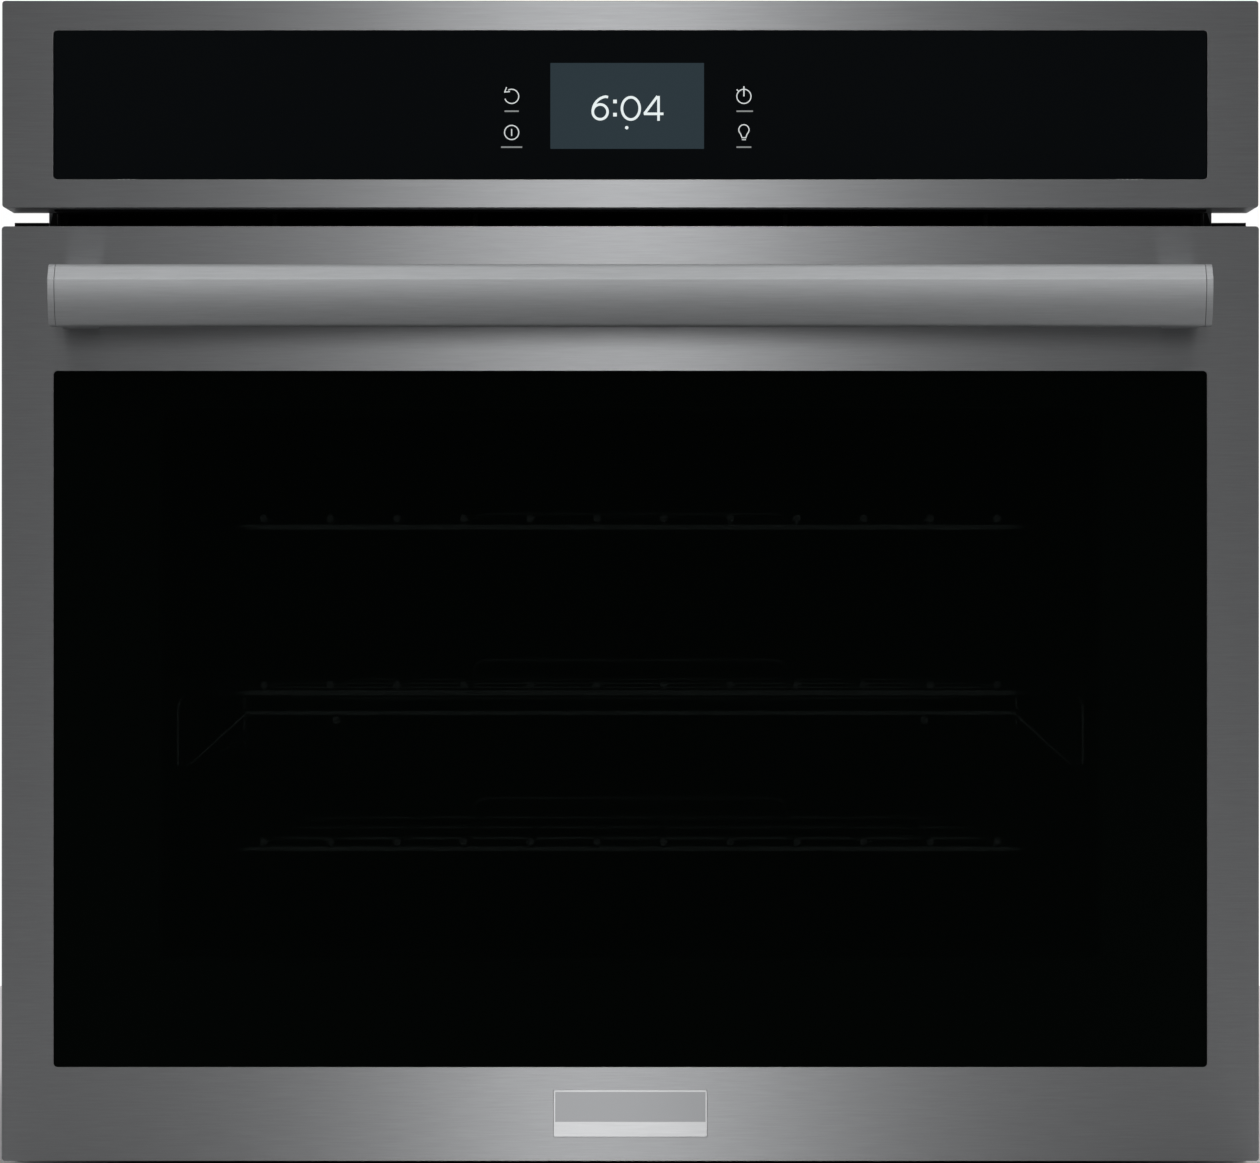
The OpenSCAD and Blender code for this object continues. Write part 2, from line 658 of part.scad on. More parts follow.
// Each arm stays in its receiver; its claw drops behind the cross pin.
module hinge_arms() color([0.6, 0.61, 0.62]) placed() both_sides()
    sideways([hinge_x - arm_t / 2, hinge_x + arm_t / 2]) difference() {
        union() {
            translate([pivot_y, pivot_z]) circle(8);
            polygon([[pivot_y, pivot_z - 6], [60, pivot_z - 6], [60, pivot_z + 8], [20, pivot_z + 8],
                     [8, pivot_z + 6], [pivot_y, pivot_z + 6]]);
            polygon([[50, pivot_z - 4], [50, 12], [57, 12], [60, 15], [60, pivot_z - 4]]);
        }
        translate([pivot_y, pivot_z]) circle(pin_r + 0.06);
    }

module hinge_channel() difference() {
    block(channel_x, channel_y, [12, channel_top]);
    // open towards the inside of the oven and at the foot, where the arm swings
    block([channel_x[0] + 2, channel_x[1] - 2], [channel_y[0] + 2, channel_y[1] + 1],
          [10, bracket_z - 4]);
    block([channel_x[0] + 2, channel_x[1] - 2], [channel_y[0] + 2, channel_y[1] + 1],
          [bracket_z, channel_top - 2]);
    rod_z(3.4, hinge_x, pivot_y, [bracket_z - 5, bracket_z + 1]);
    rod_x(pin_r, [channel_x[0] - 1, channel_x[1] + 1], pivot_y, pivot_z);
}
module hinge_channels() color(galvanised) placed() both_sides() hinge_channel();

module hinge_pins() color(chrome_wire) placed() both_sides() {
    rod_x(pin_r, channel_x, pivot_y, pivot_z);
    rod_x(6, [channel_x[1], channel_x[1] + 1.6], pivot_y, pivot_z);
    rod_x(5, [channel_x[0] - 1.4, channel_x[0]], pivot_y, pivot_z);
}

// Round wire along a helix, as one closed skin of rings.
spring_r = 4.9;
spring_wire = 1.1;
spring_turns = 13;
spring_steps = 10;                              // rings in each turn
spring_sides = 5;
function spring_point(i) = let (a = 360 * i / spring_steps,
    z = bracket_z + spring_wire + 0.2 + (nut_z - bracket_z - 2 * spring_wire - 0.4) * i
        / (spring_turns * spring_steps)) [spring_r * cos(a), spring_r * sin(a), z];
function spring_ring(i) = let (a = 360 * i / spring_steps, p = spring_point(i))
    [for (k = [0:spring_sides - 1]) let (b = 360 * k / spring_sides)
        p + spring_wire * (cos(b) * [cos(a), sin(a), 0] + sin(b) * [0, 0, 1])];
module spring() {
    n = spring_turns * spring_steps;
    s = spring_sides;
    points = [for (i = [0:n]) each spring_ring(i)];
    sides = [for (i = [0:n - 1], k = [0:s - 1]) let (a = i * s + k, b = i * s + (k + 1) % s)
        each [[a, b, a + s], [b, b + s, a + s]]];
    ends = [[for (k = [s - 1:-1:0]) k], [for (k = [0:s - 1]) n * s + k]];
    polyhedron(points, concat(sides, ends));
}
module hinge_springs() color([0.3, 0.3, 0.32]) placed() for (x = [-hinge_x, hinge_x])
    translate([x, pivot_y, 0]) spring();

module hinge_rods() color(chrome_wire) placed() both_sides() {
    rod_z(3, hinge_x, pivot_y, [60, 274]);
    translate([hinge_x, pivot_y, nut_z]) cylinder(r = 5.8, h = 6, $fn = 6);
    block([hinge_x - 4, hinge_x + 4], [pivot_y - 4, pivot_y + 4], [58, 66]);
}

// ---------- door ----------

door_x = [-half_w, half_w];
door_span = [door_z, door_top];
handle_leg_x = [322, 341];
handle_screw_z = [518, 535];

module arm_notch() block([hinge_x - 6, hinge_x + 6], [pivot_y - 10, door_back + 2], [door_z - 1, 47]);

module door_skin() color(black_steel) placed() difference() {
    union() {
        upright([-door_t, -door_t + skin])
            ring_plate(door_x, door_span, 2, [-door_win_x, door_win_x], door_win_z, win_r);
        upright([-door_t + skin, door_back - 1 - clear])
            ring_plate(door_x, door_span, 2, [-half_w + skin, half_w - skin],
                       [door_z + skin, door_top - skin], 1);
    }
    // vents for air that rises between the panes
    for (x = [-250:50:250]) {
        block([x - 18, x + 18], [-36, -31], [door_top - 2, door_top + 1]);
        block([x - 18, x + 18], [-36, -31], [door_z - 1, door_z + 2]);
    }
    both_sides() arm_notch();
    both_sides() for (z = handle_screw_z) rod_y(2.7, 331.5, [-door_t - 1, -door_t + 2], z);
}

module door_glass_outer() color(black_glass) placed()
    upright([-door_t + skin + clear, -door_t + skin + clear + 4])
        soft_rect([-door_win_x - 5, door_win_x + 5], [door_win_z[0] - 5, door_win_z[1] + 5], 4);

glass_mid_y = [-31, -28];
module door_glass_middle() color([0.5, 0.55, 0.55]) placed() upright(glass_mid_y)
    soft_rect([-inner_win_x - 20, inner_win_x + 20], [inner_win_z[0] - 20, inner_win_z[1] + 20], 4);

module door_glass_inner() color([0.5, 0.55, 0.55]) placed()
    upright([plug_back - 1 - clear - 4, plug_back - 1 - clear])
        soft_rect([-inner_win_x - 12, inner_win_x + 12], [inner_win_z[0] - 12, inner_win_z[1] + 12], 4);

// Frame that holds the middle and inner panes apart.
pack_z = [inner_win_z[0] - 24, inner_win_z[1] + 24];
module glass_pack_frame() color(galvanised) placed() {
    x = inner_win_x + 24;
    z = pack_z;
    upright([-33, plug_back - 1.2])
        ring_plate([-x, x], z, 5, [-x + 3, x - 3], [z[0] + 3, z[1] - 3], 3);
    upright([-27.8, -26.6])
        ring_plate([-x, x], z, 5, [-inner_win_x - 4, inner_win_x + 4],
                   [inner_win_z[0] - 4, inner_win_z[1] + 4], 8);
}

module door_liner() color(enamel) placed() difference() {
    union() {
        // rim sheet that closes the back of the door skin
        upright([door_back - 1, door_back])
            ring_plate([-half_w + 2, half_w - 2], [door_z + 2, door_top - 2], 3,
                       [-half_plug + 1, half_plug - 1], [plug_z[0] + 1, plug_z[1] - 1], 11);
        // raised panel that closes on the gasket
        upright([door_back, plug_back - 1])
            ring_plate([-half_plug, half_plug], plug_z, 12,
                       [-half_plug + 1, half_plug - 1], [plug_z[0] + 1, plug_z[1] - 1], 11);
        upright([plug_back - 1, plug_back])
            ring_plate([-half_plug, half_plug], plug_z, 12,
                       [-inner_win_x, inner_win_x], inner_win_z, 14);
    }
    both_sides() arm_notch();
    // slot for the latch hook
    block([latch_x - 6, latch_x + 12], [plug_back - 2, plug_back + 1], [latch_z - 3.5, latch_z + 3.5]);
}

module door_insulation() color(wool) placed() for (z = [[64, pack_z[0] - 2], [pack_z[1] + 2, 543]])
    block([-312, 312], [-38, plug_back - 1.4], z);

module badge_plate() color([0.78, 0.79, 0.8]) placed()
    upright([-door_t - 0.9, -door_t]) soft_rect([-46.7, 46.7], [19.6, 48.1], 1);

module door_screws() color(chrome_wire) placed() {
    // round the rim of the inner panel
    for (x = [-300, -100, 100, 300]) translate([x, door_back, 23]) rotate([-90, 0, 0]) pan_screw();
    both_sides() for (z = [140, 300, 460]) translate([362, door_back, z]) rotate([-90, 0, 0]) pan_screw();
    // through the skin into the handle's legs
    both_sides() for (z = handle_screw_z) {
        rod_y(2.5, 331.5, [-door_t - 16, -door_t + skin + 0.5], z);
        rod_y(4.6, 331.5, [-door_t + skin, -door_t + skin + 2.6], z);
    }
}
module pan_screw() {
    cylinder(r1 = 4, r2 = 3, h = 1.8);
}

// ---------- handle ----------

bar_t = 20;
cap_t = 4;

// Outline of the bar, forward (u) and up (v): flat back, bowed face, bright facet along the top.
function bar_outline() = let (h = handle_h / 2, crease = [bar_t - 0.3, h * 0.5], heel = [13, 2.2 - h])
    concat([[3, -h]], bow([3, -h], [9, -h], 0, 1), bow([9, -h], heel, 0.7, 4), bow(heel, crease, 1.9, 14),
           [crease], bow([15.4, h * 0.84], [9, h], 1.1, 5), [[3.5, h]],
           bow([3.5, h], [0, h - 3.5], 1, 4), bow([0, h - 3.5], [0, 3.5 - h], -1.2, 6),
           bow([0, 3.5 - h], [3, -h], 1, 4));

module bar_profile() translate([handle_front, handle_z]) mirror([1, 0]) translate([-bar_t, 0])
    polygon(bar_outline());

module handle_bar() color(handle_steel) placed()
    sideways([-handle_l / 2 + cap_t, handle_l / 2 - cap_t]) bar_profile();

module handle_end_caps() color(handle_steel) placed() both_sides() difference() {
    union() {
        sideways([handle_l / 2 - cap_t + clear, handle_l / 2]) bar_profile();
        // leg from the back of the bar to the door
        sideways([handle_leg_x[0], handle_l / 2 - cap_t / 2]) leg_profile(handle_front + bar_t + clear);
        sideways([handle_l / 2 - cap_t + clear, handle_l / 2 - cap_t / 2])
            leg_profile(handle_front + bar_t - 4);
    }
    for (z = handle_screw_z) rod_y(2.6, 331.5, [-door_t - 17, -door_t + 1], z);
}

// Side outline of a leg from the door to the plane y = tip.
module leg_profile(tip) polygon(concat(
    bow([-door_t, handle_z + 17], [tip, handle_z + 13], -1.5, 6),
    [[tip, handle_z + 13]],
    bow([tip, handle_z - 13], [-door_t, handle_z - 17], -1.5, 6),
    [[-door_t, handle_z - 17]]));

// ---------- racks ----------

module rack_wire_row(z, y) for (i = [0:rack_wires - 1])
    rod_y(wire_r, (i - (rack_wires - 1) / 2) * wire_pitch, y, z);

// Bar that carries the wires from side to side.
module cross_bar(r, half, y, z) rod_x(r, [-half, half], y, z);

// Front or back rail with its round corners, at level z. dir is 1 at the front and -1 at the back.
module end_rail(y, z, dir) {
    cross_bar(rail_r, rack_half - corner_r, y, z);
    both_sides() translate([rack_half - corner_r, y + dir * corner_r, z])
        bend(corner_r, rail_r, dir > 0 ? 270 : 0, 90);
}

// Low hoop that stops pans sliding off the back.
module back_stop(z) {
    half = 112;
    r = 9;
    cross_bar(wire_r, half - r, rack_back, z + 9);
    both_sides() {
        translate([half - r, rack_back, z + 9 - r]) rotate([90, 0, 0]) bend(r, wire_r, 0, 90);
        rod_z(wire_r, half, rack_back, [z - rail_drop, z + 9 - r]);
    }
}

module flat_rack(position) {
    z = first_rack_z + position * rack_pitch;
    low = z - rail_drop;
    rack_wire_row(z, [rack_front - 4, rack_back + 1]);
    end_rail(rack_front, low, 1);
    end_rail(rack_back, low, -1);
    both_sides() rod_y(rail_r, rack_half, [rack_front + corner_r, rack_back - corner_r], low);
    for (y = [190, 320]) cross_bar(rail_r - 0.4, rack_half, y, low);
    back_stop(z);
}
module rack_top() color(chrome_wire) placed() flat_rack(5);
module rack_bottom() color(chrome_wire) placed() flat_rack(1);

// Hoop that carries the offset rack's platform: level in the middle, sloping down to the side rails.
module offset_hoop(r, y, foot, shoulder, high, low) {
    run = [foot - shoulder, high - low];
    knee = r + 0.25;                            // each bend is a little thicker than the bar
    cross_bar(r, shoulder, y, high);
    both_sides() {
        translate([foot, y, low]) rotate([0, atan2(-run[0], run[1]), 0]) cylinder(r = r, h = norm(run));
        translate([shoulder, y, high]) sphere(knee);
        translate([foot, y, low]) sphere(knee);
        rod_x(r, [foot, rack_half], y, low);
    }
}

// End of the offset rack: a level bar that turns down through a bend to the side rails.
module offset_end(y, half, high, low) {
    r = 10;
    bar = rail_r - 0.2;
    cross_bar(bar, half - r, y, high);
    both_sides() {
        translate([half - r, y, high - r]) rotate([90, 0, 0]) bend(r, bar, 0, 90);
        rod_z(bar, half, y, [low, high - r]);
    }
}

module rack_middle() color(chrome_wire) placed() {
    z = first_rack_z + 3 * rack_pitch - 3;
    low = first_rack_z + 2 * rack_pitch - rail_drop;
    high = z - rail_drop;
    post = ledge_tip - 5;                       // the rear posts pass inside the wall ledges
    rack_wire_row(z, [rack_front - 4, rack_back + 1]);
    offset_end(rack_front, rack_half, high, low);
    offset_end(rack_back, post, high, low);
    both_sides() rod_x(rail_r, [post - 5, rack_half], rack_back, low);
    both_sides() rod_y(rail_r, rack_half, [rack_front - 6, rack_back + 6], low);
    for (y = [190, 320]) cross_bar(rail_r - 0.4, post, y, high);
    for (y = [rack_front + 9, rack_back - 9])
        offset_hoop(rail_r - 0.6, y, ledge_tip - 3, ledge_tip - 38, z - 18, low + 3.6);
    for (x = [-186, 186]) rod_y(wire_r, x, [rack_front + 4, rack_back - 4], z - 22.6);
    back_stop(z);
}

// ---------- nodes ----------

base_pan();
side_panels();
back_panel();
top_panel();
front_frame();
mounting_trims();
cavity_sides();
cavity_top();
cavity_bottom();
cavity_back();
door_gasket();
insulation_wrap();
bake_element();
broil_element();
convection_element();
fan_cover();
convection_motor();
convection_fan();
temperature_sensor();
lamp_lenses();
lamp_bulbs();
lamp_sockets();
control_panel_frame();
control_glass();
display_module();
touch_board();
control_housing();
relay_board();
blower_housing();
blower_motor();
blower_wheel();
air_duct();
vent_grille();
latch_motor();
latch_hook();
door_switch();
switch_plunger();
terminal_block();
conduit_gland();
hinge_receivers();
hinge_arms();
body_screws();
door_skin();
door_glass_outer();
door_glass_middle();
door_glass_inner();
glass_pack_frame();
door_liner();
door_insulation();
hinge_channels();
hinge_pins();
hinge_springs();
hinge_rods();
handle_bar();
handle_end_caps();
door_screws();
badge_plate();
rack_top();
rack_middle();
rack_bottom();
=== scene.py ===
"""Looks for a built-in wall oven with a black stainless front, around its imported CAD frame.

Metres, in the row frame: +X right, +Y to the back, +Z up. Lengths written with MM are millimetres.
"""

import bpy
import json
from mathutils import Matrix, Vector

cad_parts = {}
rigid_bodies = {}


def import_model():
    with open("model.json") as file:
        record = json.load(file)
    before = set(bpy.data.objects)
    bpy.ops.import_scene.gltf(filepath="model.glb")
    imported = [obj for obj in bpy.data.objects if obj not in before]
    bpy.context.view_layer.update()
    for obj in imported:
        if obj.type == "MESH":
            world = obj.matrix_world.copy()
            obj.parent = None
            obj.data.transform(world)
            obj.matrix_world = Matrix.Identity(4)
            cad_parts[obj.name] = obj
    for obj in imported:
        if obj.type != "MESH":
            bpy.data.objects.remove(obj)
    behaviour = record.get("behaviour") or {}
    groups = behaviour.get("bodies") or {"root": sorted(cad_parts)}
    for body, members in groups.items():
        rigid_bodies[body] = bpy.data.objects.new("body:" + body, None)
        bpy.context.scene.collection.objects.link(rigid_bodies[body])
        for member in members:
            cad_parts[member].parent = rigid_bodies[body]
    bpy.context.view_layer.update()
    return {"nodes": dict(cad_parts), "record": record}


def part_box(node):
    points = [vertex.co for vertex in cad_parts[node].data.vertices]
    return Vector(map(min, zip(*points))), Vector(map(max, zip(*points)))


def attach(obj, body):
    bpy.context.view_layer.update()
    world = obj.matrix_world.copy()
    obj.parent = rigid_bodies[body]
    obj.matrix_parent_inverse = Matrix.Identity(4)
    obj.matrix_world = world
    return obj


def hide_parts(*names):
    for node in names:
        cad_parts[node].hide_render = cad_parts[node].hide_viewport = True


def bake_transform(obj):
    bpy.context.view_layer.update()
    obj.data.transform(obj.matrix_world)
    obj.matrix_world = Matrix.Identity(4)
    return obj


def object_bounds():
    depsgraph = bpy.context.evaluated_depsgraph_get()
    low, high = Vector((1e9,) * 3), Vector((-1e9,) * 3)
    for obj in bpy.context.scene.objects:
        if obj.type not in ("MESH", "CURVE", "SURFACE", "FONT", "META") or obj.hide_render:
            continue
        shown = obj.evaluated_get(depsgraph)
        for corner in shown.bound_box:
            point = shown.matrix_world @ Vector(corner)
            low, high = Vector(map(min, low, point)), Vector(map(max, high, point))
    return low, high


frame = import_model()

import json
import math

import bmesh
import bpy
from mathutils import Vector

MM = 0.001
NODES = frame["nodes"]
BODY_OF = {node: body for body, nodes in frame["record"]["behaviour"]["bodies"].items() for node in nodes}

door_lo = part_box("door_skin")[0]
glass_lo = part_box("control_glass")[0]
face_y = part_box("front_frame")[1].y         # the cabinet face, where the door closes
display_lo, display_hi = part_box("display_module")


# ---------- camera ----------

CAMERA_DISTANCE = 2.7            # from the door's face
FRAME_WIDTH = 0.7637             # what the picture is wide at the door's face
CAMERA_HEIGHT = 0.3562


def add_camera():
    data = bpy.data.cameras.new("camera")
    data.sensor_width = 36
    data.lens = data.sensor_width * CAMERA_DISTANCE / FRAME_WIDTH
    camera = bpy.data.objects.new("camera", data)
    bpy.context.scene.collection.objects.link(camera)
    camera.location = (-0.0002, door_lo.y - CAMERA_DISTANCE, CAMERA_HEIGHT)
    camera.rotation_euler = (math.radians(90), 0, 0)
    bpy.context.scene.camera = camera


# ---------- node materials ----------

class Shader:
    """A node material under construction, with its Principled shader as self.surface."""

    def __init__(self, name, colour, **inputs):
        self.material = bpy.data.materials.new(name)
        self.material.use_nodes = True
        self.tree = self.material.node_tree
        self.surface = self.tree.nodes["Principled BSDF"]
        self.surface.inputs["Base Color"].default_value = (*colour, 1)
        self.colour = colour
        for key, value in inputs.items():
            self.surface.inputs[key.replace("_", " ")].default_value = value

    def node(self, kind, inputs=None, **settings):
        made = self.tree.nodes.new("ShaderNode" + kind)
        for key, value in settings.items():
            setattr(made, key, value)
        for key, value in (inputs or {}).items():
            if isinstance(value, bpy.types.NodeSocket):
                self.tree.links.new(value, made.inputs[key])
            else:
                made.inputs[key].default_value = value
        return made

    def place(self, scale=(1, 1, 1)):
        """The point being shaded, in metres times scale, fixed to the object."""
        coordinates = self.node("TexCoord").outputs["Object"]
        return self.node("Mapping", {"Vector": coordinates, "Scale": scale}).outputs["Vector"]

    def noise(self, scale, detail=3.0, rough=0.5):
        """Noise from 0 to 1; scale is in features per metre along x, y and z."""
        inputs = {"Vector": self.place(scale), "Scale": 1.0, "Detail": detail, "Roughness": rough}
        return self.node("TexNoise", inputs).outputs["Fac"]

    def remap(self, value, low, high, from_low=0.3, from_high=0.7):
        inputs = {"Value": value, "From Min": from_low, "From Max": from_high, "To Min": low, "To Max": high}
        return self.node("MapRange", inputs).outputs["Result"]

    def blend(self, fraction, first, second):
        """Colour first where fraction is 0 and second where it is 1."""
        made = self.node("Mix", {0: fraction}, data_type="RGBA")
        for socket, value in ((made.inputs[6], first), (made.inputs[7], second)):
            if isinstance(value, bpy.types.NodeSocket):
                self.tree.links.new(value, socket)
            else:
                socket.default_value = (*value, 1)
        return made.outputs[2]

    def shade(self, fraction, dark, light):
        """The base colour times dark where fraction is 0, and times light where it is 1."""
        first = tuple(min(1, c * dark) for c in self.colour)
        second = tuple(min(1, c * light) for c in self.colour)
        return self.blend(fraction, first, second)

    def set(self, **sockets):
        for key, value in sockets.items():
            self.tree.links.new(value, self.surface.inputs[key.replace("_", " ")])
        return self

    def bump(self, height, strength, distance=0.0002):
        made = self.node("Bump", {"Height": height, "Strength": strength, "Distance": distance})
        self.tree.links.new(made.outputs["Normal"], self.surface.inputs["Normal"])
        return self


def brushed(name, colour, rough=0.4, stretch=1.0, streak=0.07, along=(4, 4, 4), across=(45, 700, 1400)):
    """Metal brushed along X: fine streaks, and highlights stretched across them."""
    s = Shader(name, colour, Metallic=1.0, Roughness=rough, Anisotropic=stretch)
    # up a front or a side, and to the back over a top
    tangent = s.node("VectorTransform", {"Vector": (0, 0.2, 1)}, vector_type="VECTOR",
                     convert_from="OBJECT", convert_to="WORLD").outputs["Vector"]
    fine = s.noise(across, detail=4.0, rough=0.6)
    broad = s.noise(along, detail=2.0)
    s.set(Tangent=tangent, Base_Color=s.shade(s.remap(fine, 0, 1, 0.25, 0.75), 1 - streak, 1 + streak))
    s.set(Roughness=s.remap(broad, rough - 0.01, rough + 0.01))
    return s.bump(fine, 0.05, 0.00005)


def enamel(name, colour, rough=0.16):
    """Porcelain enamel with fine pale flecks and a slight orange peel."""
    s = Shader(name, colour, Roughness=rough, Coat_Weight=0.5, Coat_Roughness=0.08)
    flecks = s.noise((1900, 1900, 1900), detail=1.0)
    spots = s.remap(flecks, 0, 1, 0.68, 0.72)
    s.set(Base_Color=s.blend(spots, colour, (0.42, 0.43, 0.45)))
    s.set(Roughness=s.remap(s.noise((40, 40, 40)), rough, rough + 0.08))
    return s.bump(s.noise((260, 260, 260), detail=1.0), 0.06, 0.0003)


def galvanised(name, colour):
    """Zinc-coated sheet with a faint spangle."""
    s = Shader(name, colour, Metallic=1.0, Roughness=0.42)
    cells = s.node("TexVoronoi", {"Vector": s.place((90, 90, 90)), "Scale": 1.0}, feature="F1")
    grey = s.node("RGBToBW", {"Color": cells.outputs["Color"]}).outputs["Val"]
    s.set(Base_Color=s.shade(grey, 0.86, 1.08))
    s.set(Roughness=s.remap(grey, 0.36, 0.5, 0, 1))
    return s.bump(s.noise((900, 900, 900)), 0.04, 0.0001)


def smooth_metal(name, colour, rough):
    """Plated or drawn metal with slight haze."""
    s = Shader(name, colour, Metallic=1.0, Roughness=rough)
    s.set(Roughness=s.remap(s.noise((120, 120, 120), detail=4.0), rough * 0.75, rough * 1.3))
    s.set(Base_Color=s.shade(s.noise((60, 60, 60)), 0.94, 1.04))
    return s.bump(s.noise((1500, 1500, 1500)), 0.03, 0.00005)


def heater_sheath(name, colour):
    """Oxidised nickel alloy, blotched by heat."""
    s = Shader(name, colour, Metallic=0.7, Roughness=0.5)
    s.set(Base_Color=s.blend(s.noise((45, 45, 45), detail=5.0), colour, (0.2, 0.17, 0.16)))
    s.set(Roughness=s.remap(s.noise((300, 300, 300)), 0.4, 0.62))
    return s.bump(s.noise((1200, 1200, 1200)), 0.12, 0.0001)


def moulded(name, colour, rough=0.45):
    """Moulded plastic with a fine spark-eroded texture."""
    s = Shader(name, colour, Roughness=rough)
    s.set(Base_Color=s.shade(s.noise((70, 70, 70)), 0.9, 1.1))
    s.set(Roughness=s.remap(s.noise((400, 400, 400)), rough - 0.05, rough + 0.07))
    return s.bump(s.noise((2600, 2600, 2600), detail=2.0), 0.18, 0.00008)


def fibre(name, light, dark, strands):
    """Felted mineral fibre: tangled strands and soft lumps."""
    s = Shader(name, light, Roughness=0.95, Sheen_Weight=0.3, Sheen_Roughness=0.6)
    hair = s.noise(strands, detail=8.0, rough=0.75)
    s.set(Base_Color=s.blend(s.remap(hair, 0, 1), dark, light))
    return s.bump(hair, 0.8, 0.0015)


def braided(name, light, dark):
    """Woven glass-fibre rope: two sets of slanting strands."""
    s = Shader(name, light, Roughness=0.85)
    waves = []
    for slant in (1, -1):
        place = s.node("Mapping", {"Vector": s.node("TexCoord").outputs["Object"],
                                   "Rotation": (0, slant * math.radians(45), 0)}).outputs["Vector"]
        wave = s.node("TexWave", {"Vector": place, "Scale": 130.0, "Distortion": 0.6}, bands_direction="X")
        waves.append(wave.outputs["Fac"])
    weave = s.node("Math", {0: waves[0], 1: waves[1]}, operation="MAXIMUM").outputs["Value"]
    s.set(Base_Color=s.blend(weave, dark, light))
    return s.bump(weave, 0.7, 0.0006)


def dark_glass(name, colour, specular):
    """Polished black glass with the faintest haze."""
    s = Shader(name, colour, Roughness=0.03, IOR=1.5, Specular_IOR_Level=specular)
    s.set(Roughness=s.remap(s.noise((9, 9, 9), detail=4.0), 0.02, 0.06))
    return s.set(Base_Color=s.shade(s.noise((5, 5, 5)), 0.9, 1.1))


def clear_glass(name, colour):
    s = Shader(name, colour, Roughness=0.02, IOR=1.5, Transmission_Weight=1.0)
    s.set(Roughness=s.remap(s.noise((12, 12, 12), detail=4.0), 0.01, 0.05))
    return s


def circuit_board(name, colour):
    """Green laminate with pale tracks."""
    s = Shader(name, colour, Roughness=0.35, Coat_Weight=0.4, Coat_Roughness=0.1)
    tracks = s.node("TexBrick", {"Vector": s.place((1, 1, 1)), "Scale": 40.0, "Mortar Size": 0.012,
                                 "Color1": (*colour, 1), "Color2": (*[c * 0.8 for c in colour], 1),
                                 "Mortar": (0.12, 0.4, 0.2, 1)})
    return s.set(Base_Color=tracks.outputs["Color"])


def glazed_ceramic(name, colour):
    s = Shader(name, colour, Roughness=0.5, Subsurface_Weight=0.05)
    s.set(Base_Color=s.shade(s.noise((150, 150, 150), detail=4.0), 0.92, 1.04))
    return s.bump(s.noise((700, 700, 700)), 0.1, 0.0002)


def lit(name, colour, strength):
    """Something that shines by itself: the display behind the glass, and print under the glass given a
    painted glow.
    """
    s = Shader(name, colour, Roughness=0.3, Emission_Strength=strength, Specular_IOR_Level=0.1)
    s.surface.inputs["Base Color"].default_value = (0.003, 0.003, 0.003, 1)
    grain = s.noise((2500, 2500, 2500), detail=1.0)
    return s.set(Emission_Color=s.shade(grain, 0.93, 1.07))


def window_glass(name):
    """The door's outer pane: dark tinted glass with an opaque black border, which fades in over 6 mm."""
    s = Shader(name, (0.006, 0.0098, 0.0078), Roughness=0.02, IOR=1.5, Specular_IOR_Level=0.2)
    half_x, low_z, high_z, fade = 0.287, 0.125, 0.462, 0.006
    xyz = s.node("SeparateXYZ", {"Vector": s.node("TexCoord").outputs["Object"]})
    across = s.node("Math", {0: xyz.outputs["X"]}, operation="ABSOLUTE").outputs["Value"]
    edges = [s.remap(across, 1, 0, half_x - fade, half_x),
             s.remap(xyz.outputs["Z"], 0, 1, low_z, low_z + fade),
             s.remap(xyz.outputs["Z"], 1, 0, high_z - fade, high_z)]
    inside = s.node("Math", {0: edges[0], 1: edges[1]}, operation="MULTIPLY").outputs["Value"]
    inside = s.node("Math", {0: inside, 1: edges[2]}, operation="MULTIPLY").outputs["Value"]
    alpha = s.node("MapRange", {"Value": inside, "To Min": 1.0, "To Max": 0.72}).outputs["Result"]
    s.set(Alpha=alpha)
    return s


def badge_blank(name, light, dark):
    """Blank name plate: a bright border and lower band round a darker field, all brushed."""
    made = brushed(name, light)
    low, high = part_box("badge_plate")
    border, band = 1.2 * MM, 9.1 * MM
    xyz = made.node("SeparateXYZ", {"Vector": made.node("TexCoord").outputs["Object"]})
    off_centre = made.node("Math", {0: xyz.outputs["X"], 1: (low.x + high.x) / 2}, operation="SUBTRACT")
    across = made.node("Math", {0: off_centre.outputs["Value"]}, operation="ABSOLUTE").outputs["Value"]
    half_field = (high.x - low.x) / 2 - border
    fade = 0.1 * MM
    edges = [made.remap(across, 1, 0, half_field, half_field + fade),
             made.remap(xyz.outputs["Z"], 0, 1, low.z + band, low.z + band + fade),
             made.remap(xyz.outputs["Z"], 1, 0, high.z - border, high.z - border + fade)]
    field = made.node("Math", {0: edges[0], 1: edges[1]}, operation="MULTIPLY").outputs["Value"]
    field = made.node("Math", {0: field, 1: edges[2]}, operation="MULTIPLY").outputs["Value"]
    grain = made.surface.inputs["Base Color"].links[0].from_socket
    return made.set(Base_Color=made.blend(field, grain, dark))


